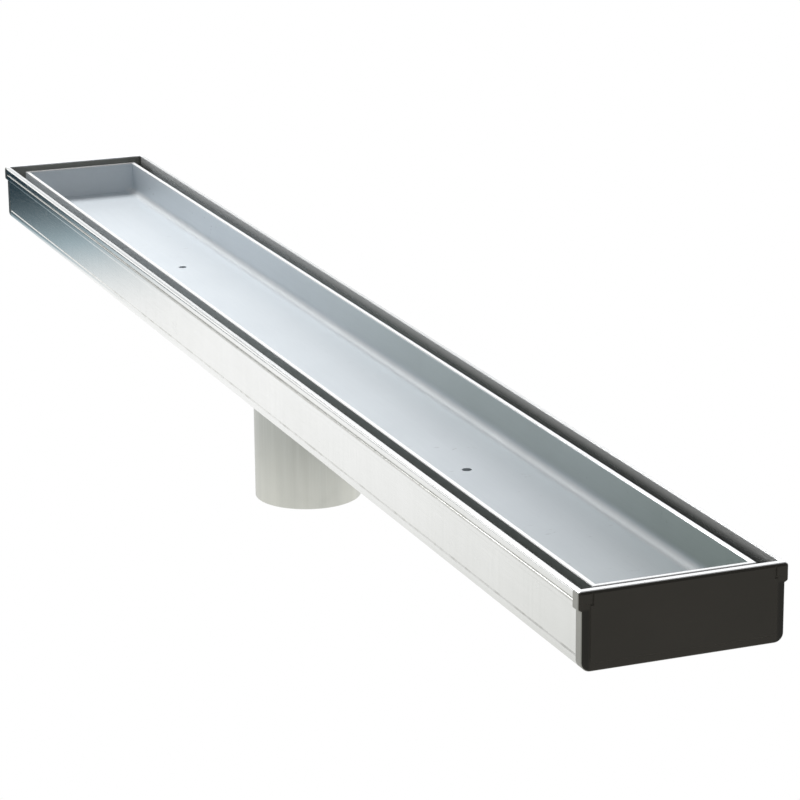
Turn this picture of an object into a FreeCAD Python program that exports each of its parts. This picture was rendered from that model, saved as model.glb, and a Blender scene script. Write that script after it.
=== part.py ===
import FreeCAD, Part
import math
import os

from FreeCAD import Vector

# A straight linear floor drain. An extruded channel with beaded lips is closed at each end by a
# metal end plate under a thin moulded cap. It carries a riveted outlet tube under its middle, and
# holds a loose tray for a strip of floor tile. Millimetres, +X along the channel, +Z up. The origin
# is on the outlet tube's axis, at the tube's lower end.

# --- the channel's extruded section ---
channel_length = 950.0      # over both end caps
channel_width = 100.0       # over the lips
channel_depth = 36.5        # rim to underside
rim_width = 3.1             # flat top of each lip
lip_proud = 1.6             # how far a lip stands out from the wall below it
lip_height = 8.4            # rim to the lip's lower edge
lip_taper = 0.9             # height of the slope from the lip's lower edge back to the wall
floor_thickness = 1.8
bottom_radius = 4.5         # outside radius where wall and floor meet
rim_outer_radius = 1.7      # the bead's rounded outer shoulder
rim_inner_radius = 0.4
bead_height = 4.1           # rim to the groove that parts the bead from the band under it
groove_height = 1.1
groove_depth = 0.8
crest_radius = 0.45         # rounding of the crests on either side of the groove
lip_edge_radius = 1.0
score_rise = 6.4            # height of the scored line above the underside
score_height = 1.0
score_depth = 0.4

# --- end plates, with a moulded cap on the outside of each ---
end_depth = 6.5             # end plate and cap together, along the channel
plate_wall = 3.0            # thickness of the end plate's wall
cap_thickness = 0.8
cap_inset = 0.3             # from the plate's outline to the cap's; also the plate's edge bevel
cap_edge_bevel = 0.5
panel_proud = 0.4           # raised panel and lugs on the cap's face
panel_border = 3.8          # from the wall's outline to the panel
panel_bevel = 0.3
panel_radius = 2.2          # lower corners of the panel
lug_reach = 6.3             # from the ear's outer edge to the lug's inner edge
lug_drop = 5.6              # rim to the lug's lower edge
lug_gap = 0.5               # between a lug and the panel
face_margin = 0.9           # edge left round the raised parts at the rim and the ear
tongue_reach = 8.0          # how far the plate's tongue enters the channel
tongue_thickness = 1.6
tongue_drop = 13.0          # rim to the top of the tongue and its seal
seal_thickness = 0.8        # fills the space between the tongue and the channel

# --- outlet ---
outlet_diameter = 60.3
outlet_wall = 2.0
outlet_drop = 67.0          # channel's underside to the tube's lower end
outlet_gap = 0.25           # clearance of the tube in the floor and in the gasket
flange_width = 9.0          # the flange's reach beyond the tube
flange_thickness = 1.5
flange_root = 1.0           # slope between the tube and the underside of its flange
tube_bevel = 0.4
gasket_thickness = 1.0
rivet_count = 4
rivet_diameter = 3.2
rivet_gap = 0.1
rivet_head_diameter = 6.4
rivet_head_height = 1.1
rivet_head_flat = 3.6       # diameter of the flat on top of the head
rivet_tail_diameter = 5.0
rivet_tail_height = 1.6

# --- tile tray ---
tray_end_gap = 7.8          # between the tray and each end plate
tray_side_gap = 7.65        # between the tray and each side, with the tray on the centre line
tray_sheet = 2.5
tray_recess = 20.0          # depth of the space for the tile
tray_below_rim = 2.5
tray_offset = 1.2           # the loose tray lies this far off the channel's centre line
tray_bend_radius = 3.5      # inside, between a long wall and the floor
tray_rim_bevel = 0.3
drain_hole_diameter = 5.0

# --- bridges under the tray ---
bridge_sheet = 1.5
bridge_length = 26.0        # along the channel
bridge_span = 56.0          # over the legs
bridge_foot = 8.0           # the foot's reach beyond its leg
bridge_bend_radius = 1.5    # inside
bridge_count = 4
bridge_inset = 83.0         # tray's end to the middle of the last bridge

# --- levels and half widths that follow from those sizes ---
underside = outlet_drop
rim = underside + channel_depth
floor_top = underside + floor_thickness
half_width = channel_width / 2
inner_half = half_width - rim_width
wall_half = half_width - lip_proud
inner_bottom_radius = max(bottom_radius - floor_thickness, 0.3)
cap_face = channel_length / 2 - panel_proud
plate_face = cap_face - cap_thickness
plate_inside = plate_face - plate_wall
extrusion_end = channel_length / 2 - end_depth
tongue_end = extrusion_end - tongue_reach
tray_length = 2 * (plate_inside - tray_end_gap)
tray_width = 2 * (inner_half - tray_side_gap)
tray_top = rim - tray_below_rim
tray_floor_top = tray_top - tray_recess
tray_underside = tray_floor_top - tray_sheet
outlet_radius = outlet_diameter / 2
flange_radius = outlet_radius + flange_width
flange_top = underside - gasket_thickness
rivet_circle = outlet_radius + flange_width / 2 + outlet_gap


def rounded_wire(corners, plane):
    """Closed wire through (u, v, radius) corners, each rounded by its tangent arc."""
    spots = [plane(u, v) for u, v, _ in corners]
    radii = [radius for _, _, radius in corners]
    arcs = []
    for index, spot in enumerate(spots):
        back = (spots[index - 1] - spot).normalize()
        ahead = (spots[(index + 1) % len(spots)] - spot).normalize()
        half_angle = back.getAngle(ahead) / 2
        reach = radii[index] / math.tan(half_angle)
        inward = (back + ahead).normalize()
        middle = spot + inward * (radii[index] / math.sin(half_angle) - radii[index])
        arcs.append((spot + back * reach, middle, spot + ahead * reach))
    edges = []
    for index, (start, middle, end) in enumerate(arcs):
        if radii[index] > 0:
            edges.append(Part.Arc(start, middle, end).toShape())
        following = arcs[(index + 1) % len(arcs)][0]
        if end.distanceToPoint(following) > 1e-6:
            edges.append(Part.LineSegment(end, following).toShape())
    return Part.Wire(edges)


def across(x):
    """Plane square to the channel at x, with u across and v up."""
    return lambda u, v: Vector(x, u, v)


def mirrored(corners):
    """The same corners on the other side of the centre line, in reverse order."""
    return [(-u, v, radius) for u, v, radius in reversed(corners)]


def prism(corners, start, end):
    """Solid with one section across the channel, from x = start to x = end."""
    return Part.Face(rounded_wire(corners, across(start))).extrude(Vector(end - start, 0, 0))


def spun(corners):
    """Solid of revolution about the outlet's axis from (radius, height) corners."""
    section = Part.makePolygon([Vector(u, 0, v) for u, v in corners + corners[:1]])
    return Part.Face(section).revolve(Vector(0, 0, 0), Vector(0, 0, 1), 360)


def outer_side(scored=False, inset=0.0):
    """Corners down one outer side: beaded lip, wall and rounded bottom."""
    outer = half_width - inset
    wall = wall_half - inset
    groove_top = rim - bead_height
    score = underside + score_rise
    shoulder = [(outer, rim - inset, rim_outer_radius - inset)]
    if scored:
        shoulder += [
            (outer, groove_top, crest_radius),
            (outer - groove_depth, groove_top - groove_height / 2, 0),
            (outer, groove_top - groove_height, crest_radius),
        ]
    lip_foot = [
        (outer, rim - lip_height + inset, lip_edge_radius - inset),
        (wall, rim - lip_height - lip_taper + inset, 0),
    ]
    line = []
    if scored:
        line = [
            (wall, score + score_height / 2, 0),
            (wall - score_depth, score, 0),
            (wall, score - score_height / 2, 0),
        ]
    return shoulder + lip_foot + line + [(wall, underside + inset, bottom_radius - inset)]


def trough_section(scored=False):
    """Corners of the open channel section: both outer sides and the space inside."""
    side = outer_side(scored)
    inside = [
        (-inner_half, rim, rim_inner_radius),
        (-inner_half, floor_top, inner_bottom_radius),
        (inner_half, floor_top, inner_bottom_radius),
        (inner_half, rim, rim_inner_radius),
    ]
    return side + mirrored(side) + inside


def rivet_spots():
    """Centres of the outlet's rivets, between the channel's two axes."""
    for index in range(rivet_count):
        angle = 2 * math.pi * (index + 0.5) / rivet_count
        yield rivet_circle * math.cos(angle), rivet_circle * math.sin(angle)


def rivet_holes(low, high):
    """Drills for every rivet between two heights."""
    radius = rivet_diameter / 2 + rivet_gap
    drills = [Part.makeCylinder(radius, high - low, Vector(x, y, low)) for x, y in rivet_spots()]
    return Part.makeCompound(drills)


def channel_body():
    """Extruded channel with the outlet's opening and rivet holes in its floor."""
    body = prism(trough_section(True), -extrusion_end, extrusion_end)
    low = underside - 1
    high = floor_top + 1
    opening = Part.makeCylinder(outlet_radius + outlet_gap, high - low, Vector(0, 0, low))
    return body.cut(opening).cut(rivet_holes(low, high))


def folded_strip(outer, low, top, thickness, outer_radius):
    """Corners of a U-shaped strip: two upright sides joined by a floor with rounded corners."""
    inner = outer - thickness
    inner_radius = max(outer_radius - thickness, 0.2)
    outside = [(outer, top, 0), (outer, low, outer_radius)]
    inside = [(inner, low + thickness, inner_radius), (inner, top, 0)]
    return outside + mirrored(outside) + mirrored(inside) + inside


def lining(distance, thickness):
    """Corners of a strip inside the channel, at this distance from the channel's inner faces."""
    outer = inner_half - distance
    low = floor_top + distance
    outer_radius = max(inner_bottom_radius - distance, 0.4)
    return folded_strip(outer, low, rim - tongue_drop, thickness, outer_radius)


def end_seal():
    """Rubber strip between the channel and the right-hand end plate's tongue."""
    return prism(lining(0, seal_thickness), tongue_end, plate_inside)


def bevelled_slab(inset, start, end, bevel):
    """Slab with the channel's outline, its outer face at x = end bevelled all round."""
    side = outer_side(inset=inset)
    slab = prism(side + mirrored(side), start, end)
    front = [edge for edge in slab.Edges if edge.BoundBox.XMin > end - 1e-6]
    return slab.makeChamfer(bevel, front)


def end_plate():
    """Metal plate for the right-hand end: wall, short skirt and the tongue inside the channel."""
    wall = bevelled_slab(0, plate_inside, plate_face, cap_inset)
    skirt = prism(trough_section(), extrusion_end, plate_inside)
    tongue = prism(lining(seal_thickness, tongue_thickness), tongue_end, plate_inside)
    return wall.fuse([skirt, tongue]).removeSplitter()


def raised(corners):
    """Raised patch on the cap's face whose sides lean in by the bevel."""
    middle_u = sum(u for u, _, _ in corners) / len(corners)
    middle_v = sum(v for _, v, _ in corners) / len(corners)
    top = []
    for u, v, radius in corners:
        step_u = math.copysign(panel_bevel, middle_u - u)
        step_v = math.copysign(panel_bevel, middle_v - v)
        top.append((u + step_u, v + step_v, radius - min(panel_bevel, radius / 2)))
    foot = rounded_wire(corners, across(cap_face))
    crest = rounded_wire(top, across(cap_face + panel_proud))
    return Part.makeLoft([foot, crest], True, True)


def cap_panel():
    """Raised panel on the cap's face, stepped in beside each lug."""
    top_half = half_width - lug_reach - lug_gap
    half = wall_half - panel_border
    top = rim - face_margin
    step = rim - lug_drop - lug_gap
    bottom = underside + panel_border
    corners = [(top_half, top, 0), (top_half, step, 0), (half, step, 0), (half, bottom, panel_radius)]
    return raised(corners + mirrored(corners))


def cap_lug(side):
    """Raised lug on one ear of the cap's face."""
    outer = half_width - face_margin
    inner = half_width - lug_reach
    top = rim - face_margin
    bottom = rim - lug_drop
    corners = [(outer, top), (outer, bottom), (inner, bottom), (inner, top)]
    return raised([(side * u, v, 0) for u, v in corners])


def end_cap():
    """Thin moulded cap on the outside of the right-hand end plate."""
    slab = bevelled_slab(cap_inset, plate_face, cap_face, cap_edge_bevel)
    return slab.fuse([cap_panel(), cap_lug(1), cap_lug(-1)]).removeSplitter()


def outlet_spigot():
    """Tube through the channel's floor with a flange under it."""
    inner = outlet_radius - outlet_wall
    bevel = tube_bevel
    flange_low = flange_top - flange_thickness
    corners = [
        (inner, floor_top),
        (outlet_radius, floor_top),
        (outlet_radius, flange_top),
        (flange_radius, flange_top),
        (flange_radius, flange_low),
        (outlet_radius + flange_root, flange_low),
        (outlet_radius, flange_low - flange_root),
        (outlet_radius, bevel),
        (outlet_radius - bevel, 0),
        (inner + bevel, 0),
        (inner, bevel),
    ]
    return spun(corners).cut(rivet_holes(flange_low - 1, flange_top + 1))


def outlet_gasket():
    """Ring between the channel's underside and the flange."""
    inner = outlet_radius + outlet_gap
    corners = [
        (inner, flange_top),
        (flange_radius, flange_top),
        (flange_radius, underside),
        (inner, underside),
    ]
    return spun(corners).cut(rivet_holes(flange_top - 1, underside + 1))


def rivet(x, y):
    """One rivet: low head on the floor, shank, and the tail closed under the flange."""
    shank = rivet_diameter / 2
    tail = rivet_tail_diameter / 2
    grip_low = flange_top - flange_thickness
    tail_low = grip_low - rivet_tail_height
    crown = floor_top + rivet_head_height
    corners = [
        (0, crown),
        (rivet_head_flat / 2, crown),
        (rivet_head_diameter / 2, floor_top),
        (shank, floor_top),
        (shank, grip_low),
        (tail, grip_low),
        (tail, tail_low),
        (0, tail_low),
    ]
    solid = spun(corners)
    solid.translate(Vector(x, y, 0))
    return solid


def outlet_rivets():
    """All of the outlet's rivets, as separate solids."""
    return Part.makeCompound([rivet(x, y) for x, y in rivet_spots()])


def tile_tray():
    """Loose tray: a sheet bent up along both sides, flat end walls and two small drain holes."""
    half = tray_width / 2
    end = tray_length / 2
    outer_bend = tray_bend_radius + tray_sheet
    sheet = prism(folded_strip(half, tray_underside, tray_top, tray_sheet, outer_bend), -end, end)
    side = [(half, tray_top, 0), (half, tray_underside, outer_bend)]
    outline = side + mirrored(side)
    ends = [prism(outline, -end, tray_sheet - end), prism(outline, end - tray_sheet, end)]
    tray = sheet.fuse(ends).removeSplitter()
    rims = [edge for edge in tray.Edges if edge.BoundBox.ZMin > tray_top - 1e-6]
    tray = tray.makeChamfer(tray_rim_bevel, rims)
    for x in (-tray_length / 4, tray_length / 4):
        low = Vector(x, 0, tray_underside - 1)
        tray = tray.cut(Part.makeCylinder(drain_hole_diameter / 2, tray_sheet + 2, low))
    tray.translate(Vector(0, tray_offset, 0))
    return tray


def tray_bridge(x):
    """Folded strip under the tray: a web against the tray's floor, two legs and two feet."""
    leg = bridge_span / 2
    inside = leg - bridge_sheet
    toe = leg + bridge_foot
    bend = bridge_bend_radius
    outer_bend = bend + bridge_sheet
    foot_top = floor_top + bridge_sheet
    half = [
        (leg, tray_underside, outer_bend),
        (leg, foot_top, bend),
        (toe, foot_top, 0),
        (toe, floor_top, 0),
        (inside, floor_top, outer_bend),
        (inside, tray_underside - bridge_sheet, bend),
    ]
    strip = prism(half + mirrored(half), x - bridge_length / 2, x + bridge_length / 2)
    strip.translate(Vector(0, tray_offset, 0))
    return strip


def bridge_places():
    """Middles of the bridges, spaced evenly under the tray."""
    reach = tray_length / 2 - bridge_inset
    spacing = 2 * reach / (bridge_count - 1)
    return [-reach + spacing * index for index in range(bridge_count)]


def at_left(shape):
    """The same piece at the channel's other end, turned half round."""
    turned = shape.copy()
    turned.rotate(Vector(0, 0, 0), Vector(0, 0, 1), 180)
    return turned


def pieces():
    """Every piece by its name."""
    plate = end_plate()
    cap = end_cap()
    seal = end_seal()
    made = {
        "channel_body": channel_body(),
        "end_plate_right": plate,
        "end_plate_left": at_left(plate),
        "end_cap_right": cap,
        "end_cap_left": at_left(cap),
        "end_seal_right": seal,
        "end_seal_left": at_left(seal),
        "outlet_spigot": outlet_spigot(),
        "outlet_gasket": outlet_gasket(),
        "outlet_rivets": outlet_rivets(),
        "tile_tray": tile_tray(),
    }
    for number, x in enumerate(bridge_places(), start=1):
        made[f"tray_bridge_{number}"] = tray_bridge(x)
    return made


os.makedirs("parts", exist_ok=True)
for name, shape in pieces().items():
    shape.exportStep(f"parts/{name}.step")
    box = shape.BoundBox
    print(f"{name}: {len(shape.Solids)} solids, valid {shape.isValid()}, {shape.Volume / 1000:.2f} cm3,"
          f" {box.XLength:.2f} x {box.YLength:.2f} x {box.ZLength:.2f} mm, from z {box.ZMin:.2f}")
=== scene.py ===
import logging
import math
from dataclasses import dataclass
from enum import Enum
from typing import Any, Dict, List, Optional, Sequence, Tuple, Union

import bpy
from mathutils import Matrix, Vector


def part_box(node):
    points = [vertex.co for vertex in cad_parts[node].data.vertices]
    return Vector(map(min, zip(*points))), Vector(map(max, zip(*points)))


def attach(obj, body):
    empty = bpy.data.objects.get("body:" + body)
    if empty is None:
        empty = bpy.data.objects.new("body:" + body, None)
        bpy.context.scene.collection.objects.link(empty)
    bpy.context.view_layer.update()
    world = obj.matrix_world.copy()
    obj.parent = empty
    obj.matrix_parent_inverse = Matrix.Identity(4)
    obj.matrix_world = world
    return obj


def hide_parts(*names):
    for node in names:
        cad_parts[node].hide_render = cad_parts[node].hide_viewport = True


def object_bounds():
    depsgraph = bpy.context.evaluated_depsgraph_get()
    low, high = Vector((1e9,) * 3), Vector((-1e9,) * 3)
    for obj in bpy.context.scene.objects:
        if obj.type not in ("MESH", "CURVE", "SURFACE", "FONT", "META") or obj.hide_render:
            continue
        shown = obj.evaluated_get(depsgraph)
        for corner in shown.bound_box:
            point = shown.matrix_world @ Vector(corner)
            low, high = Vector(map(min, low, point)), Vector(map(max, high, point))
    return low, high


# A straight linear floor drain: a beaded metal channel with a metal plate and a moulded cap on each
# end, a round outlet tube riveted under its middle, and a loose tray for a strip of tile. Lengths
# are in metres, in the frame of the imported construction: +X along the channel, +Z up.

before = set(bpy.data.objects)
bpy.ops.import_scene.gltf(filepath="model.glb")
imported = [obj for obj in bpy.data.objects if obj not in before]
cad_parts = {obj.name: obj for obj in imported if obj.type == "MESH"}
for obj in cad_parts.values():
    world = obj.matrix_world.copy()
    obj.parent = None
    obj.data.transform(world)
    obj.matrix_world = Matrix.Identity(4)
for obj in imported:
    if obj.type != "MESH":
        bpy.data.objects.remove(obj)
CAD_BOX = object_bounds()

LOG = logging.getLogger("channel_drain")
ROOT = "root"
MM = 0.001

Colour = Tuple[float, float, float]
Number = Union[int, float]
Span = Tuple[float, float]


class Grain(Enum):
    """Direction that the fine lines of a metal surface run in."""

    ALONG_CHANNEL = (0.02, 1.0, 1.0)
    ALONG_TUBE = (1.0, 1.0, 0.02)


class Wave:
    """A shader socket that takes part in Python arithmetic."""

    def __init__(self, graph: "Graph", socket: bpy.types.NodeSocket) -> None:
        """Wraps one output socket.

        Args:
            graph: the graph that the socket's node belongs to.
            socket: the output that carries the value.
        """
        self.graph = graph
        self.socket = socket

    def _math(self, operation: str, first: "Term", second: "Term") -> "Wave":
        """One Math node on two terms."""
        node = self.graph.node("ShaderNodeMath", {"operation": operation}, {0: first, 1: second})
        return Wave(self.graph, node.outputs[0])

    def __add__(self, other: "Term") -> "Wave":
        """Sum."""
        return self._math("ADD", self, other)

    def __radd__(self, other: "Term") -> "Wave":
        """Sum with a plain number on the left."""
        return self._math("ADD", other, self)

    def __sub__(self, other: "Term") -> "Wave":
        """Difference."""
        return self._math("SUBTRACT", self, other)

    def __rsub__(self, other: "Term") -> "Wave":
        """Difference from a plain number."""
        return self._math("SUBTRACT", other, self)

    def __mul__(self, other: "Term") -> "Wave":
        """Product."""
        return self._math("MULTIPLY", self, other)

    def __rmul__(self, other: "Term") -> "Wave":
        """Product with a plain number on the left."""
        return self._math("MULTIPLY", other, self)

    def step(self, low: float, high: float) -> "Wave":
        """Eases from 0 at low to 1 at high; with high under low it falls as the value rises.

        Args:
            low: the value that gives 0, and everything beyond it.
            high: the value that gives 1, and everything beyond it.

        Returns:
            The eased value.
        """
        node = self.graph.node(
            "ShaderNodeMapRange",
            {"interpolation_type": "SMOOTHSTEP"},
            {"Value": self, "From Min": low, "From Max": high},
        )
        return Wave(self.graph, node.outputs[0])


Term = Union[Wave, Number]


class Graph:
    """Builds the node tree of one material or of the world."""

    def __init__(self, tree: bpy.types.NodeTree) -> None:
        """Empties the tree and takes it over."""
        tree.nodes.clear()
        self.tree = tree

    def node(
        self,
        kind: str,
        settings: Optional[Dict[str, Any]] = None,
        sockets: Optional[Dict[Union[str, int], Any]] = None,
    ) -> bpy.types.Node:
        """Adds a node, sets it and feeds it.

        Args:
            kind: the node's type name.
            settings: properties of the node, set before its sockets; "stops" are a ramp's stops.
            sockets: values, or Wave links, by socket name or number.

        Returns:
            The node.
        """
        made = self.tree.nodes.new(kind)
        for name, value in (settings or {}).items():
            if name == "stops":
                self._fill_ramp(made.color_ramp, value)
            else:
                setattr(made, name, value)
        for key, value in (sockets or {}).items():
            if isinstance(value, Wave):
                self.tree.links.new(value.socket, made.inputs[key])
            else:
                made.inputs[key].default_value = value
        return made

    @staticmethod
    def _fill_ramp(ramp: bpy.types.ColorRamp, stops: Sequence[Tuple[float, Colour]]) -> None:
        """Gives a colour ramp exactly these stops.

        Args:
            ramp: the ramp of a fresh node.
            stops: position and colour of each stop, from 0 to 1.
        """
        while len(ramp.elements) > 1:
            ramp.elements.remove(ramp.elements[-1])
        ramp.elements[0].position = stops[0][0]
        ramp.elements[0].color = (*stops[0][1], 1.0)
        for position, colour in stops[1:]:
            ramp.elements.new(position).color = (*colour, 1.0)

    def place(self) -> Wave:
        """Position on the object, in metres."""
        return Wave(self, self.node("ShaderNodeTexCoord").outputs["Object"])

    def direction(self) -> Wave:
        """Direction that the surroundings are seen in."""
        return Wave(self, self.node("ShaderNodeTexCoord").outputs["Generated"])

    def parts(self, vector: Wave) -> Tuple[Wave, Wave, Wave]:
        """The three parts of a vector."""
        outputs = self.node("ShaderNodeSeparateXYZ", {}, {0: vector}).outputs
        return Wave(self, outputs[0]), Wave(self, outputs[1]), Wave(self, outputs[2])

    def scaled(self, vector: Wave, factors: Sequence[float]) -> Wave:
        """The vector with each part multiplied by its factor."""
        node = self.node(
            "ShaderNodeVectorMath", {"operation": "MULTIPLY"}, {0: vector, 1: tuple(factors)}
        )
        return Wave(self, node.outputs[0])

    def noise(self, vector: Wave, scale: float, detail: float = 2.0, rough: float = 0.5) -> Wave:
        """Noise between 0 and 1.

        Args:
            vector: where the noise is read.
            scale: its frequency, in features per metre.
            detail: octaves of finer noise.
            rough: how strong the finer octaves are.

        Returns:
            The noise's value.
        """
        node = self.node(
            "ShaderNodeTexNoise",
            {"noise_dimensions": "3D"},
            {"Vector": vector, "Scale": scale, "Detail": detail, "Roughness": rough},
        )
        return Wave(self, node.outputs[0])

    def blend(self, factor: Term, first: Union[Wave, Colour], second: Union[Wave, Colour]) -> Wave:
        """Mixes two colours.

        Args:
            factor: 0 gives the first colour and 1 the second.
            first: a colour or a link that carries one.
            second: a colour or a link that carries one.

        Returns:
            The mixed colour.
        """
        tones = [c if isinstance(c, Wave) else (*c, 1.0) for c in (first, second)]
        sockets = {0: factor, 6: tones[0], 7: tones[1]}
        return Wave(self, self.node("ShaderNodeMix", {"data_type": "RGBA"}, sockets).outputs[2])

    def product(self, first: Wave, second: Wave) -> Wave:
        """One colour seen through another.

        Args:
            first: a link that carries a colour.
            second: a link that carries the colour it is multiplied by.

        Returns:
            The darker colour that results.
        """
        settings = {"data_type": "RGBA", "blend_type": "MULTIPLY"}
        node = self.node("ShaderNodeMix", settings, {0: 1.0, 6: first, 7: second})
        return Wave(self, node.outputs[2])

    def ramp(self, factor: Wave, stops: Sequence[Tuple[float, Colour]]) -> Wave:
        """Colour that runs through these stops as the factor rises from 0 to 1."""
        return Wave(self, self.node("ShaderNodeValToRGB", {"stops": stops}, {0: factor}).outputs[0])

    def bump(self, height: Wave, strength: float, distance: float) -> Wave:
        """Normal of a surface with this relief."""
        node = self.node(
            "ShaderNodeBump", {}, {"Height": height, "Strength": strength, "Distance": distance}
        )
        return Wave(self, node.outputs[0])

    def surface(self, sockets: Dict[Union[str, int], Any]) -> None:
        """Ends a material in one Principled shader.

        Args:
            sockets: values, or Wave links, of the shader's own sockets.
        """
        shader = self.node("ShaderNodeBsdfPrincipled", {}, sockets)
        end = self.node("ShaderNodeOutputMaterial")
        self.tree.links.new(shader.outputs[0], end.inputs["Surface"])


@dataclass
class Coat:
    """A metal surface while its layers are laid on, and where each point of it lies."""

    graph: Graph
    place: Wave
    along: Wave
    aside: Wave
    height: Wave
    streaks: Wave
    colour: Wave
    roughness: Term
    metallic: Term

    def tint(self, factor: Term, tone: Colour) -> None:
        """Mixes a tone into the colour, 0 for none of it and 1 for all."""
        self.colour = self.graph.blend(factor, self.colour, tone)

    def above(self, level: float, span: Span) -> Wave:
        """Eases from 0 to 1 over a span of heights counted from a level."""
        return self.height.step(level + span[0], level + span[1])

    def beyond(self, distance: float, span: Span) -> Wave:
        """Eases from 0 to 1 over a span counted outwards from a distance, on both sides alike."""
        low, high = ((distance + reach) ** 2 for reach in span)
        return (self.aside * self.aside).step(low, high)

    def towards(self, walls: Span, span: Span) -> Wave:
        """Eases from 0 to 1 over a span counted inwards from the outside of each long wall."""
        low, high = walls
        return self.aside.step(high - span[0], high - span[1]) + self.aside.step(
            low + span[0], low + span[1]
        )


class Layer:
    """Something laid over a metal surface, such as wear, dirt and painted light and shade."""

    def lay(self, coat: Coat) -> None:
        """Adds the layer.

        Args:
            coat: the surface so far, which the layer changes.
        """
        raise NotImplementedError


@dataclass(frozen=True)
class Seam(Layer):
    """A thin uneven darker line along both sides of the channel; in the groove under the beads it
    is painted shade.
    """

    out: float
    level: float
    half: float
    tone: Colour
    least: float
    depth: float = 0.5 * MM
    edge_shares: Span = (2.2, 0.6)
    dashes_per_metre: float = 85.0
    dash_span: Span = (0.42, 0.68)
    dash_grain: Tuple[float, float, float] = (1.0, 0.1, 0.1)

    def lay(self, coat: Coat) -> None:
        """Draws the line, which is strongest in dashes.

        Args:
            coat: the surface so far, which the layer changes.
        """
        off = (coat.height - self.level) * (coat.height - self.level)
        faint, full = ((share * self.half) ** 2 for share in self.edge_shares)
        line = off.step(faint, full) * coat.beyond(self.out, (-self.depth, 0.0))
        stretched = coat.graph.scaled(coat.place, self.dash_grain)
        dashes = coat.graph.noise(stretched, self.dashes_per_metre, detail=4.0, rough=0.7)
        dashes = dashes.step(*self.dash_span)
        coat.tint(line * (self.least + (1.0 - self.least) * dashes), self.tone)


@dataclass(frozen=True)
class Scuffs(Layer):
    """Short fine scratches that gather in patches."""

    tone: Colour
    strength: float = 0.5
    per_metre: float = 190.0
    span: Span = (0.655, 0.70)
    patches_per_metre: float = 9.0
    patch_span: Span = (0.50, 0.62)
    slant: Tuple[float, float, float] = (1.0, 0.35, 1.0)

    def lay(self, coat: Coat) -> None:
        """Scratches the surface.

        Args:
            coat: the surface so far, which the layer changes.
        """
        slanted = coat.graph.scaled(coat.place, self.slant)
        scuffs = coat.graph.noise(slanted, self.per_metre, detail=4.0, rough=0.7)
        patches = coat.graph.noise(coat.place, self.patches_per_metre, detail=1.0, rough=0.5)
        marks = scuffs.step(*self.span) * patches.step(*self.patch_span)
        coat.tint(marks * self.strength, self.tone)


@dataclass(frozen=True)
class WallShade(Layer):
    """Painted shade on the tray's walls that deepens towards +X, and on its floor at that end too.
    """

    bed: float
    tone: Colour
    wall_span: Span = (1.5 * MM, 6.0 * MM)
    strength: float = 0.75
    far_share: float = 0.03
    near_share: float = 0.79
    growth: Span = (-0.25, 0.2)
    end_floor: float = 0.14
    end_wall: float = 0.16
    end_span: Span = (0.26, 0.47)

    def lay(self, coat: Coat) -> None:
        """Paints the shade on the walls.

        Args:
            coat: the surface so far, which the layer changes.
        """
        wall = coat.above(self.bed, self.wall_span)
        grown = self.far_share + self.near_share * coat.along.step(*self.growth)
        at_end = (self.end_floor + self.end_wall * wall) * coat.along.step(*self.end_span)
        coat.tint(wall * self.strength * grown + at_end, self.tone)


@dataclass(frozen=True)
class BendHighlight(Layer):
    """Painted highlight: a bright mottled band where the tray's long walls bend up from its floor.
    """

    bed: float
    walls: Span
    tone: Colour
    bend_span: Span = (8.6 * MM, 5.2 * MM)
    wall_span: Span = (1.5 * MM, 6.0 * MM)
    fade: Span = (4.0 * MM, 1.0 * MM)
    softer: float = 0.12
    least: float = 0.35
    mottle: float = 0.5
    mottles_per_metre: float = 130.0
    less_metallic: float = 0.45

    def lay(self, coat: Coat) -> None:
        """Paints the highlight on the bends.

        Args:
            coat: the surface so far, which the layer changes.
        """
        bend = coat.towards(self.walls, self.bend_span)
        wall = coat.above(self.bed, self.wall_span)
        coat.roughness = coat.roughness + bend * (1.0 - wall) * self.softer
        blotches = coat.graph.noise(coat.place, self.mottles_per_metre, detail=3.0, rough=0.6)
        highlight = bend * coat.above(self.bed, self.fade) * (self.least + self.mottle * blotches)
        coat.tint(highlight, self.tone)
        coat.metallic = coat.metallic - highlight * self.less_metallic


@dataclass(frozen=True)
class GapShade(Layer):
    """Painted shade on the outside of the tray's long walls, in the gap beside the channel: darker
    lower down and towards +X, and paler towards -X by being less metallic.
    """

    walls: Span
    top: float
    tone: Colour
    skin: Span = (0.9 * MM, 0.3 * MM)
    depth: Span = (-1.5 * MM, -11.0 * MM)
    least_share: float = 0.02
    near_share: float = 0.93
    growth: Span = (-0.02, 0.4)
    shallow_share: float = 0.4
    less_metallic: float = 0.6
    far_pale_span: Span = (0.3, -0.1)

    def lay(self, coat: Coat) -> None:
        """Paints the shade on the outside.

        Args:
            coat: the surface so far, which the layer changes.
        """
        outside = coat.towards(self.walls, self.skin)
        grown = self.least_share + self.near_share * coat.along.step(*self.growth)
        deep = coat.above(self.top, self.depth)
        deep = self.shallow_share + (1.0 - self.shallow_share) * deep
        coat.tint(outside * grown * deep, self.tone)
        far_pale = outside * coat.along.step(*self.far_pale_span)
        coat.metallic = coat.metallic - far_pale * self.less_metallic


@dataclass(frozen=True)
class InnerRimLight(Layer):
    """Painted light on the channel's inner faces: less metallic near the rim, fading out downwards,
    so they read paler there.
    """

    inner: float
    rim: float
    reach: Span = (0.8 * MM, 0.3 * MM)
    depth: Span = (-8.0 * MM, -0.5 * MM)
    less_metallic: float = 0.75

    def lay(self, coat: Coat) -> None:
        """Paints the inner faces paler near the rim by taking their shine off.

        Args:
            coat: the surface so far, which the layer changes.
        """
        rim_pale = coat.beyond(self.inner, self.reach) * coat.above(self.rim, self.depth)
        coat.metallic = coat.metallic - rim_pale * self.less_metallic


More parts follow.
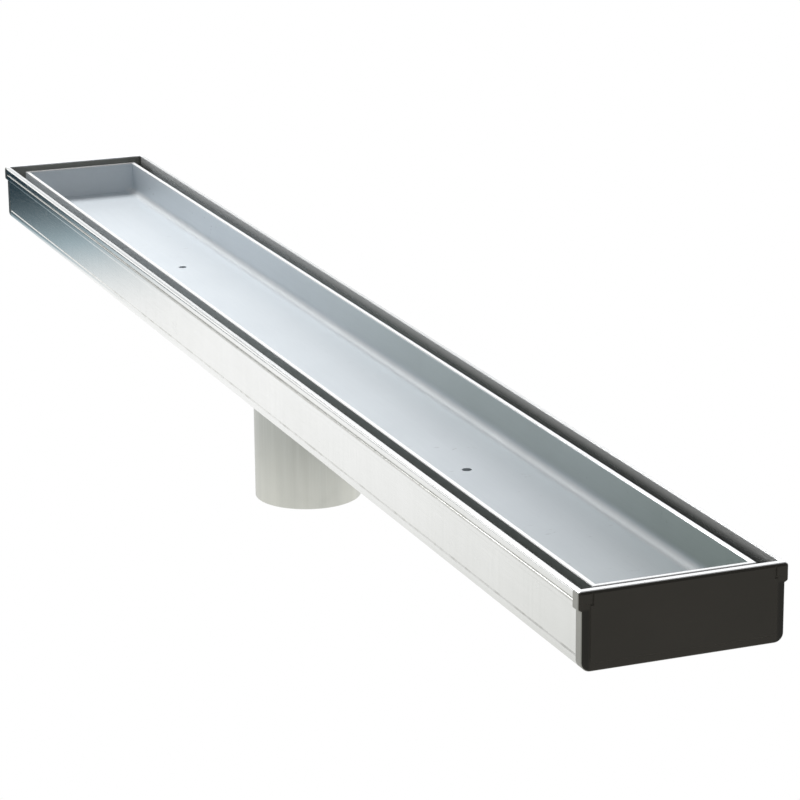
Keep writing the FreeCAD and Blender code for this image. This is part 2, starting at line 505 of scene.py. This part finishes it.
@dataclass(frozen=True)
class FootLight(Layer):
    """Painted light on the outlet tube: a streaky paler tone that grows towards its lower end,
    leaving the part under the channel darker.
    """

    tone: Colour
    top: float = 50 * MM
    strength: float = 0.55
    streak: float = 0.9

    def lay(self, coat: Coat) -> None:
        """Paints the foot lighter.

        Args:
            coat: the surface so far, which the layer changes.
        """
        foot_lift = coat.height.step(self.top, 0.0)
        coat.tint(foot_lift * (self.strength + self.streak * (coat.streaks - 0.5)), self.tone)


@dataclass(frozen=True)
class RimToneAndGlint(Layer):
    """Rim tinted to the metal's edge tone and made smooth, with a painted highlight that brightens
    towards +X.
    """

    rim: float
    tone: Colour
    glint_tone: Colour = (0.96, 0.97, 0.98)
    depth: Span = (-0.7 * MM, -0.3 * MM)
    glint_span: Span = (0.05, 0.42)
    roughness_change: float = 0.0
    metallic_change: float = 0.0

    def lay(self, coat: Coat) -> None:
        """Tints the rim and paints its highlight.

        Args:
            coat: the surface so far, which the layer changes.
        """
        edge = coat.above(self.rim, self.depth)
        coat.tint(edge, self.tone)
        coat.tint(edge * coat.along.step(*self.glint_span), self.glint_tone)
        coat.roughness = coat.roughness + edge * self.roughness_change
        coat.metallic = coat.metallic + edge * self.metallic_change


@dataclass(frozen=True)
class MetalFinish:
    """Satin metal with fine lines in one direction, soft clouds and a few handling marks."""

    name: str
    bright: Colour
    dull: Colour
    grain: Grain
    roughness: float
    lines_per_metre: float
    line_contrast: float
    cloud_contrast: float
    relief: float = 0.12
    relief_depth: float = 0.06 * MM
    metallic: float = 1.0
    edge_tone: Colour = (0.70, 0.715, 0.725)
    edge_roughness: float = 0.22
    cross_contrast: float = 0.0
    cross_per_metre: float = 420.0
    lines_per_streak: float = 9.0
    streak_share: float = 0.6
    clouds_per_metre: float = 14.0
    smudges_per_metre: float = 55.0
    smudge_span: Span = (0.62, 0.78)
    line_roughness: float = 0.16
    cloud_roughness: float = 0.1
    smudge_roughness: float = 0.05

    def make(self, layers: Sequence[Layer] = (), rim: Optional[float] = None) -> bpy.types.Material:
        """Builds the material.

        Args:
            layers: wear, dirt and painted light and shade, in the order that they are laid on.
            rim: height of a rim whose tone and painted highlight are laid last of all.

        Returns:
            The finished material.
        """
        material = bpy.data.materials.new(self.name)
        material.use_nodes = True
        graph = Graph(material.node_tree)
        place = graph.place()
        grained = graph.scaled(place, self.grain.value)
        lines = graph.noise(grained, self.lines_per_metre, detail=4.0, rough=0.62)
        streaks = graph.noise(grained, self.lines_per_metre / self.lines_per_streak)
        coat = self._bare(graph, place, lines, streaks)
        for layer in layers:
            layer.lay(coat)
        if rim is not None:
            self._edge(rim).lay(coat)
        graph.surface({
            "Base Color": coat.colour,
            "Metallic": coat.metallic,
            "Roughness": coat.roughness,
            "Normal": graph.bump(lines, self.relief, self.relief_depth),
        })
        return material

    def _bare(self, graph: Graph, place: Wave, lines: Wave, streaks: Wave) -> Coat:
        """The metal as it was made.

        Args:
            graph: the material's graph.
            place: position on the object.
            lines: the fine lines.
            streaks: broader streaks in the same direction.

        Returns:
            The coat that layers are laid on.
        """
        clouds = graph.noise(place, self.clouds_per_metre, detail=3.0, rough=0.55)
        smudges = graph.noise(place, self.smudges_per_metre, detail=2.0, rough=0.6)
        smudges = smudges.step(*self.smudge_span)
        shade = lines * self.line_contrast + streaks * (self.streak_share * self.line_contrast)
        shade = shade + clouds * self.cloud_contrast - 0.5 * self.cloud_contrast
        if self.cross_contrast > 0.0:
            across = graph.scaled(place, (1.0, 0.03, 0.03))
            marks = graph.noise(across, self.cross_per_metre, detail=3.0, rough=0.6)
            shade = shade + (marks - 0.5) * self.cross_contrast
        uneven = (lines - 0.5) * self.line_roughness + (clouds - 0.5) * self.cloud_roughness
        uneven = uneven + smudges * self.smudge_roughness
        along, aside, height = graph.parts(place)
        return Coat(
            graph=graph,
            place=place,
            along=along,
            aside=aside,
            height=height,
            streaks=streaks,
            colour=graph.blend(shade, self.bright, self.dull),
            roughness=self.roughness + uneven,
            metallic=self.metallic,
        )

    def _edge(self, rim: float) -> RimToneAndGlint:
        """The rim tone and painted rim highlight of this metal at a height."""
        return RimToneAndGlint(
            rim=rim,
            tone=self.edge_tone,
            roughness_change=self.edge_roughness - self.roughness,
            metallic_change=1.0 - self.metallic,
        )


@dataclass(frozen=True)
class MouldedFinish:
    """Black moulded plastic or rubber with a fine spark-eroded texture."""

    name: str
    dark: Colour
    light: Colour
    roughness: float
    texture_per_metre: float
    relief: float
    relief_depth: float = 0.08 * MM
    specular: float = 0.3
    border_shade_tone: Colour = (0.007, 0.0065, 0.0045)
    clouds_per_metre: float = 30.0
    cloud_share: float = 0.7
    cloud_roughness: float = 0.14
    rubs_per_metre: float = 420.0
    rub_span: Span = (0.66, 0.8)
    rub_share: float = 0.5
    grit_roughness: float = 0.1
    border_strength: float = 0.75
    border_fade: float = 1.6 * MM
    border_end: float = 1.5 * MM

    def make(self, border: Optional[Span] = None) -> bpy.types.Material:
        """Builds the material.

        Args:
            border: how far out a border of painted shade begins on both sides, and the height it
                ends at.

        Returns:
            The finished material.
        """
        material = bpy.data.materials.new(self.name)
        material.use_nodes = True
        graph = Graph(material.node_tree)
        place = graph.place()
        grit = graph.noise(place, self.texture_per_metre, detail=3.0, rough=0.6)
        clouds = graph.noise(place, self.clouds_per_metre, detail=3.0, rough=0.6)
        stretched = graph.scaled(place, (1.0, 0.2, 1.0))
        rubs = graph.noise(stretched, self.rubs_per_metre, detail=3.0, rough=0.7)
        shade = clouds * self.cloud_share + rubs.step(*self.rub_span) * self.rub_share
        colour = graph.blend(shade, self.dark, self.light)
        uneven = (clouds - 0.5) * self.cloud_roughness + (grit - 0.5) * self.grit_roughness
        # Painted shade in the recessed border round the cap's raised panel.
        if border is not None:
            aside, height = graph.parts(place)[1:]
            out, top = border
            edge = (aside * aside).step(out ** 2, (out + self.border_fade) ** 2)
            edge = edge * height.step(top, top - self.border_end)
            colour = graph.blend(edge * self.border_strength, colour, self.border_shade_tone)
        graph.surface({
            "Base Color": colour,
            "Roughness": self.roughness + uneven,
            "Specular IOR Level": self.specular,
            "Normal": graph.bump(grit, self.relief, self.relief_depth),
        })
        return material


def dress(node: str, material: bpy.types.Material) -> bpy.types.Object:
    """Gives a construction node its finish.

    Args:
        node: the node's name.
        material: the finish for all of it.

    Returns:
        The node's object.
    """
    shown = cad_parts[node]
    shown.data.materials.clear()
    shown.data.materials.append(material)
    LOG.info("%s dressed in %s", node, material.name)
    return shown


@dataclass
class Channel:
    """The extruded channel with its end plates, caps and seals."""

    metal: MetalFinish = MetalFinish(
        name="channel_metal",
        bright=(0.93, 0.935, 0.925),
        dull=(0.78, 0.79, 0.77),
        grain=Grain.ALONG_CHANNEL,
        roughness=0.22,
        lines_per_metre=2600.0,
        line_contrast=0.5,
        cloud_contrast=0.5,
        cross_contrast=0.5,
    )
    # The end plates' light edge tone paints the highlight along their top edge, over dark plate
    # metal.
    plate: MetalFinish = MetalFinish(
        name="plate_metal",
        bright=(0.39, 0.39, 0.365),
        dull=(0.27, 0.27, 0.25),
        grain=Grain.ALONG_CHANNEL,
        roughness=0.34,
        lines_per_metre=1400.0,
        line_contrast=0.3,
        cloud_contrast=0.5,
        edge_tone=(0.95, 0.96, 0.98),
    )
    plastic: MouldedFinish = MouldedFinish(
        name="cap_plastic",
        dark=(0.0235, 0.0205, 0.0152),
        light=(0.039, 0.0342, 0.0262),
        roughness=0.5,
        texture_per_metre=3800.0,
        relief=0.25,
    )
    rubber: MouldedFinish = MouldedFinish(
        name="seal_rubber",
        dark=(0.012, 0.012, 0.012),
        light=(0.03, 0.03, 0.028),
        roughness=0.75,
        texture_per_metre=2600.0,
        relief=0.2,
    )

    lip_proud: float = 1.6 * MM
    rim_width: float = 3.1 * MM
    score_rise: float = 6.4 * MM
    score_depth: float = 0.4 * MM
    score_half: float = 0.35 * MM
    score_tone: Colour = (0.55, 0.55, 0.52)
    score_least: float = 0.35
    # groove_*: painted shade along the groove under each bead, dimming the highlights on the
    # groove's crests.
    groove_drop: float = 4.8 * MM
    groove_depth: float = 0.9 * MM
    groove_half: float = 0.7 * MM
    groove_shade_tone: Colour = (0.58, 0.58, 0.55)
    groove_least: float = 0.7
    cap_border: float = 4.2 * MM
    ear_height: float = 7.5 * MM

    def build(self) -> None:
        """Dresses the channel, its end plates and caps, and what is made of rubber."""
        low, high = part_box("channel_body")
        dress("channel_body", self.metal.make(self._layers(low[2], high[1], high[2]), high[2]))
        wall = high[1] - self.lip_proud
        plate = self.plate.make(rim=high[2])
        plastic = self.plastic.make(border=(wall - self.cap_border, high[2] - self.ear_height))
        rubber = self.rubber.make()
        for side in ("right", "left"):
            dress(f"end_plate_{side}", plate)
            dress(f"end_cap_{side}", plastic)
            dress(f"end_seal_{side}", rubber)
        dress("outlet_gasket", rubber)

    def _layers(self, underside: float, lip: float, rim: float) -> Tuple[Layer, ...]:
        """A darker line along the scored line, painted shade in the groove under each bead, and
        painted light on the inner faces near the rim.

        Args:
            underside: height of the channel's underside.
            lip: how far out the lips stand.
            rim: height of the rim.

        Returns:
            The layers, in order.
        """
        score = Seam(
            out=lip - self.lip_proud - self.score_depth,
            level=underside + self.score_rise,
            half=self.score_half,
            tone=self.score_tone,
            least=self.score_least,
        )
        # Painted shade in the groove, laid wide enough to dim the crests' highlights.
        groove = Seam(
            out=lip - self.groove_depth,
            level=rim - self.groove_drop,
            half=self.groove_half,
            tone=self.groove_shade_tone,
            least=self.groove_least,
        )
        return score, groove, InnerRimLight(inner=lip - self.rim_width, rim=rim)


@dataclass(frozen=True)
class Input:
    """One named input of a Geometry Nodes group."""

    name: str
    kind: str
    value: Any


@dataclass
class Ring:
    """Copies of one turned piece, evenly spaced on a circle round the outlet's axis."""

    name: str
    count: int
    radius: float
    turn: float
    profile: Sequence[Tuple[float, float]]
    facets: int = 40

    def build(self, material: bpy.types.Material) -> bpy.types.Object:
        """Makes the ring as one mesh.

        Args:
            material: the finish of every copy.

        Returns:
            The object, at the origin, with its place in its mesh.
        """
        shape = bpy.data.objects.new(self.name, self._turned())
        bpy.context.scene.collection.objects.link(shape)
        modifier = shape.modifiers.new("ring", "NODES")
        modifier.node_group, inputs = self._group()
        for given in inputs:
            item = modifier.node_group.interface.items_tree[given.name]
            modifier[item.identifier] = given.value if given.value is not None else material
        shape.update_tag()
        bpy.context.view_layer.update()
        graph = bpy.context.evaluated_depsgraph_get()
        mesh = bpy.data.meshes.new_from_object(shape.evaluated_get(graph), depsgraph=graph)
        shape.modifiers.clear()
        shape.data = mesh
        return shape

    def _turned(self) -> bpy.types.Mesh:
        """Turns the piece about its own axis from the (radius, height) profile.

        Returns:
            A closed mesh whose faces point outwards.
        """
        vertices: List[Tuple[float, float, float]] = []
        for radius, height in self.profile:
            for step in range(self.facets):
                angle = 2 * math.pi * step / self.facets
                vertices.append((radius * math.cos(angle), radius * math.sin(angle), height))
        faces: List[Tuple[int, ...]] = []
        for row in range(len(self.profile) - 1):
            for step in range(self.facets):
                after = (step + 1) % self.facets
                low, high = row * self.facets, (row + 1) * self.facets
                faces.append((low + step, high + step, high + after, low + after))
        last = (len(self.profile) - 1) * self.facets
        faces.append(tuple(range(self.facets)))
        faces.append(tuple(last + step for step in reversed(range(self.facets))))
        mesh = bpy.data.meshes.new(self.name)
        mesh.from_pydata(vertices, [], faces)
        mesh.validate()
        for polygon in mesh.polygons:
            polygon.use_smooth = len(polygon.vertices) == 4
        return mesh

    def _group(self) -> Tuple[bpy.types.NodeTree, List[Input]]:
        """Makes the node group that sets the copies out.

        Returns:
            The group, and its inputs with their values; the finish is set by the caller.
        """
        tree = bpy.data.node_groups.new("ring", "GeometryNodeTree")
        inputs = [
            Input("Count", "NodeSocketInt", self.count),
            Input("Radius", "NodeSocketFloat", self.radius),
            Input("Turn", "NodeSocketFloat", self.turn),
            Input("Finish", "NodeSocketMaterial", None),
        ]
        tree.interface.new_socket("Geometry", in_out="INPUT", socket_type="NodeSocketGeometry")
        for given in inputs:
            tree.interface.new_socket(given.name, in_out="INPUT", socket_type=given.kind)
        tree.interface.new_socket("Mesh", in_out="OUTPUT", socket_type="NodeSocketGeometry")
        made = {
            key: tree.nodes.new(kind)
            for key, kind in (
                ("given", "NodeGroupInput"),
                ("circle", "GeometryNodeMeshCircle"),
                ("angle", "ShaderNodeCombineXYZ"),
                ("turned", "GeometryNodeTransform"),
                ("copies", "GeometryNodeInstanceOnPoints"),
                ("real", "GeometryNodeRealizeInstances"),
                ("finish", "GeometryNodeSetMaterial"),
                ("end", "NodeGroupOutput"),
            )
        }
        for source, output, target, entry in (
            ("given", "Count", "circle", "Vertices"),
            ("given", "Radius", "circle", "Radius"),
            ("given", "Turn", "angle", "Z"),
            ("circle", 0, "turned", "Geometry"),
            ("angle", 0, "turned", "Rotation"),
            ("turned", 0, "copies", "Points"),
            ("given", "Geometry", "copies", "Instance"),
            ("copies", 0, "real", 0),
            ("real", 0, "finish", "Geometry"),
            ("given", "Finish", "finish", "Material"),
            ("finish", 0, "end", 0),
        ):
            tree.links.new(made[source].outputs[output], made[target].inputs[entry])
        return tree, inputs


@dataclass
class Outlet:
    """The outlet tube with the rivets of its flange."""

    tube: MetalFinish = MetalFinish(
        name="outlet_metal",
        bright=(0.545, 0.56, 0.535),
        dull=(0.36, 0.37, 0.335),
        grain=Grain.ALONG_TUBE,
        roughness=0.36,
        lines_per_metre=700.0,
        line_contrast=0.55,
        cloud_contrast=0.5,
    )
    foot: FootLight = FootLight(tone=(0.78, 0.78, 0.715))
    rivet: MetalFinish = MetalFinish(
        name="rivet_metal",
        bright=(0.82, 0.82, 0.82),
        dull=(0.66, 0.66, 0.66),
        grain=Grain.ALONG_TUBE,
        roughness=0.32,
        lines_per_metre=1800.0,
        line_contrast=0.3,
        cloud_contrast=0.4,
    )
    rivets: int = 4
    head_radius: float = 3.2 * MM
    head_height: float = 1.1 * MM
    shank_radius: float = 1.6 * MM
    tail_radius: float = 2.5 * MM
    tail_height: float = 1.6 * MM
    stem_radius: float = 0.9 * MM
    arc_steps: int = 8
    crown_share: float = 0.88
    waist_share: float = 0.62
    bulb_share: float = 0.8
    pit: Tuple[Span, ...] = ((0.3, 0.5 * MM), (0.85, 0.45 * MM), (1.0, 0.06 * MM))
    tip: Tuple[Span, ...] = ((1.0, 0.25 * MM), (0.75, 0.03 * MM), (0.3, 0.0))

    def build(self) -> None:
        """Dresses the tube and makes the rivets."""
        dress("outlet_spigot", self.tube.make((self.foot,)))
        low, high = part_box("outlet_rivets")
        turn = math.pi / self.rivets
        ring = Ring(
            name="outlet_rivet_ring",
            count=self.rivets,
            radius=(high[0] - self.head_radius) / math.cos(turn),
            turn=turn,
            profile=self._profile(low[2], high[2]),
        )
        piece = ring.build(self.rivet.make())
        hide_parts("outlet_rivets")
        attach(piece, ROOT)
        LOG.info("%d rivets made", self.rivets)

    def _profile(self, low: float, high: float) -> List[Tuple[float, float]]:
        """Half section of one closed blind rivet, from the top of its head to the end of its tail.

        Args:
            low: height of the tail's end.
            high: height of the head's crown.

        Returns:
            (radius, height) points, from the stem's end in the head, down the outside.
        """
        stem = self.stem_radius
        seat = high - self.head_height
        shoulder = low + self.tail_height
        points = [(share * stem, high - depth) for share, depth in self.pit]
        for step in range(1, self.arc_steps + 1):
            angle = math.pi / 2 * step / self.arc_steps
            rise = 1 - self.crown_share + self.crown_share * math.cos(angle)
            reach = stem + (self.head_radius - stem) * math.sin(angle)
            points.append((reach, seat + self.head_height * rise))
        points += [(self.head_radius, seat), (self.shank_radius, seat)]
        points.append((self.shank_radius, shoulder))
        for step in range(self.arc_steps + 1):
            angle = math.pi * step / self.arc_steps
            swell = self.waist_share + (1 - self.waist_share) * math.sin(angle)
            drop = self.bulb_share * (1 - math.cos(angle)) / 2
            points.append((self.tail_radius * swell, shoulder - self.tail_height * drop))
        points += [(share * stem, low + rise) for share, rise in self.tip]
        return points


@dataclass
class Tray:
    """The loose tile tray and the bridges under it."""

    sheet: MetalFinish = MetalFinish(
        name="tray_metal",
        bright=(0.805, 0.855, 0.895),
        dull=(0.705, 0.755, 0.795),
        grain=Grain.ALONG_CHANNEL,
        roughness=0.54,
        lines_per_metre=2200.0,
        line_contrast=0.4,
        cloud_contrast=0.5,
        metallic=0.7,
        edge_tone=(0.93, 0.935, 0.94),
    )
    strip: MetalFinish = MetalFinish(
        name="bridge_metal",
        bright=(0.78, 0.79, 0.80),
        dull=(0.62, 0.63, 0.64),
        grain=Grain.ALONG_CHANNEL,
        roughness=0.36,
        lines_per_metre=1800.0,
        line_contrast=0.4,
        cloud_contrast=0.5,
    )
    scuff_tone: Colour = (0.42, 0.43, 0.44)
    wall_shade_tone: Colour = (0.375, 0.435, 0.405)
    bend_highlight_tone: Colour = (0.93, 0.95, 0.96)
    gap_shade_tone: Colour = (0.36, 0.38, 0.38)
    thickness: float = 2.5 * MM
    bridges: int = 4

    def build(self) -> None:
        """Dresses the tray and its bridges."""
        low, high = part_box("tile_tray")
        walls = (low[1], high[1])
        bed = low[2] + self.thickness
        # Only the scuffs are real marks; the other layers paint shade on the walls and in the gap
        # outside them, and a highlight along the bends.
        layers = (
            Scuffs(tone=self.scuff_tone),
            WallShade(bed=bed, tone=self.wall_shade_tone),
            BendHighlight(bed=bed, walls=walls, tone=self.bend_highlight_tone),
            GapShade(walls=walls, top=high[2], tone=self.gap_shade_tone),
        )
        dress("tile_tray", self.sheet.make(layers, high[2]))
        strip = self.strip.make()
        for number in range(1, self.bridges + 1):
            dress(f"tray_bridge_{number}", strip)


@dataclass
class Studio:
    """Pale floor, a glowing sheet seen only in reflections that paints the floor's reflection in
    the metal, soft surroundings that darken overhead and behind the camera, and the camera.
    """

    floor_size: float = 14.0
    floor_glow: float = 1.0
    # Glow of the sheet seen only in reflections: painted reflection of the floor, dimmer towards
    # +X, with a dark bluish band (the flag) painted beyond the far end.
    sheen_near: Colour = (0.615, 0.62, 0.592)
    sheen_far: Colour = (1.0, 1.0, 1.0)
    sheen_span: Span = (-0.25, 0.75)
    sheen_rise: float = 0.1 * MM
    flag_span: Span = (-0.867, -0.43)
    flag_tones: Tuple[Tuple[float, Colour], ...] = (
        (0.0, (0.004, 0.022, 0.034)),
        (0.5, (0.37, 0.475, 0.525)),
        (1.0, (1.0, 1.0, 1.0)),
    )
    sky_bright: float = 1.2
    sky_dark: float = 0.27
    sky_behind: float = 0.30
    sky_edge: Span = (0.30, 0.46)
    sky_back: Span = (-0.35, 0.55)
    sky_tilt: float = 0.17
    box_power: float = 9.6
    box_size: Span = (1.0, 0.6)
    box_place: Tuple[float, float, float] = (-1.15, -0.12, 1.15)
    box_aim: Tuple[float, float, float] = (-0.3, 0.0, 0.09)
    azimuth: float = math.radians(-68.52)
    elevation: float = math.radians(16.207)
    roll: float = math.radians(-0.522)
    lens: float = 139.0
    sensor: float = 36.0
    clip: Span = (0.05, 50.0)
    eye: Tuple[float, float, float] = (1.58536, -0.56695, 0.54409)

    def build(self) -> None:
        """Makes the floor, the light and the camera."""
        floor, graph = self._sheet("studio_floor", CAD_BOX[0][2])
        self._glow(graph, (self.floor_glow, self.floor_glow, self.floor_glow, 1.0))
        floor.visible_glossy = False
        # Painted reflection: a glowing sheet just above the floor, hidden from the camera, whose
        # glow dims towards +X and turns dark beyond the far end.
        sheen, graph = self._sheet("studio_sheen", CAD_BOX[0][2] + self.sheen_rise)
        along = graph.parts(graph.place())[0]
        even = graph.blend(along.step(*self.sheen_span), self.sheen_far, self.sheen_near)
        flag = graph.ramp(along.step(*self.flag_span), self.flag_tones)
        self._glow(graph, graph.product(even, flag))
        sheen.visible_camera = False
        sheen.visible_diffuse = False
        sheen.visible_shadow = False
        self._sky()
        self._softbox()
        self._camera()
        bpy.context.scene.view_settings.view_transform = "Standard"

    def _sheet(self, name: str, height: float) -> Tuple[bpy.types.Object, Graph]:
        """A wide level sheet with an empty material.

        Args:
            name: of the sheet and of its material.
            height: where it lies.

        Returns:
            The sheet and the graph of its material.
        """
        half = self.floor_size / 2
        mesh = bpy.data.meshes.new(name)
        corners = ((-half, -half), (half, -half), (half, half), (-half, half))
        mesh.from_pydata([(*corner, height) for corner in corners], [], [(0, 1, 2, 3)])
        sheet = bpy.data.objects.new(name, mesh)
        bpy.context.scene.collection.objects.link(sheet)
        material = bpy.data.materials.new(name)
        material.use_nodes = True
        mesh.materials.append(material)
        return sheet, Graph(material.node_tree)

    @staticmethod
    def _glow(graph: Graph, tone: Union[Wave, Tuple[float, float, float, float]]) -> None:
        """Ends a material in a glow of this tone, even or varied over the sheet."""
        graph.surface({
            "Base Color": (0.0, 0.0, 0.0, 1.0),
            "Roughness": 1.0,
            "Specular IOR Level": 0.0,
            "Emission Color": tone,
            "Emission Strength": 1.0,
        })

    def _sky(self) -> None:
        """White sweep round the far side, dark overhead and behind the camera."""
        world = bpy.data.worlds.new("studio")
        world.use_nodes = True
        graph = Graph(world.node_tree)
        along, aside, upward = graph.parts(graph.direction())
        overhead = (upward - aside * self.sky_tilt).step(*self.sky_edge)
        sweep = self.sky_bright + overhead * (self.sky_dark - self.sky_bright)
        behind = along.step(*self.sky_back)
        level = sweep + behind * (self.sky_behind - self.sky_bright) * (1.0 - overhead)
        white = (1.0, 1.0, 1.0, 1.0)
        back = graph.node("ShaderNodeBackground", {}, {"Color": white, "Strength": level})
        end = graph.node("ShaderNodeOutputWorld")
        graph.tree.links.new(back.outputs[0], end.inputs["Surface"])
        bpy.context.scene.world = world

    def _softbox(self) -> None:
        """Large soft light above and beyond the channel's far end."""
        lamp = bpy.data.lights.new("studio_softbox", "AREA")
        lamp.shape = "RECTANGLE"
        lamp.size, lamp.size_y = self.box_size
        lamp.energy = self.box_power
        box = bpy.data.objects.new("studio_softbox", lamp)
        toward = Vector(self.box_aim) - Vector(self.box_place)
        turn = toward.to_track_quat("-Z", "Y").to_matrix().to_4x4()
        box.matrix_world = Matrix.Translation(Vector(self.box_place)) @ turn
        box.visible_camera = False
        bpy.context.scene.collection.objects.link(box)

    def _camera(self) -> None:
        """The camera, looking along the channel from above its near end."""
        ahead = Vector((
            math.cos(self.elevation) * math.sin(self.azimuth),
            math.cos(self.elevation) * math.cos(self.azimuth),
            -math.sin(self.elevation),
        ))
        right = ahead.cross(Vector((0, 0, 1))).normalized()
        up = right.cross(ahead)
        turned_right = math.cos(self.roll) * right + math.sin(self.roll) * up
        turned_up = math.cos(self.roll) * up - math.sin(self.roll) * right
        pose = Matrix((turned_right, turned_up, -ahead)).transposed().to_4x4()
        pose.translation = Vector(self.eye)
        data = bpy.data.cameras.new("camera")
        data.lens = self.lens
        data.sensor_width = self.sensor
        data.clip_start, data.clip_end = self.clip
        camera = bpy.data.objects.new("camera", data)
        camera.matrix_world = pose
        bpy.context.scene.collection.objects.link(camera)
        bpy.context.scene.camera = camera


def main() -> None:
    """Builds and dresses the drain, then its studio."""
    logging.basicConfig(level=logging.INFO, format="%(name)s: %(message)s")
    for assembly in (Channel(), Outlet(), Tray(), Studio()):
        assembly.build()
        LOG.info("%s done", type(assembly).__name__)


if __name__ == "__main__":
    main()
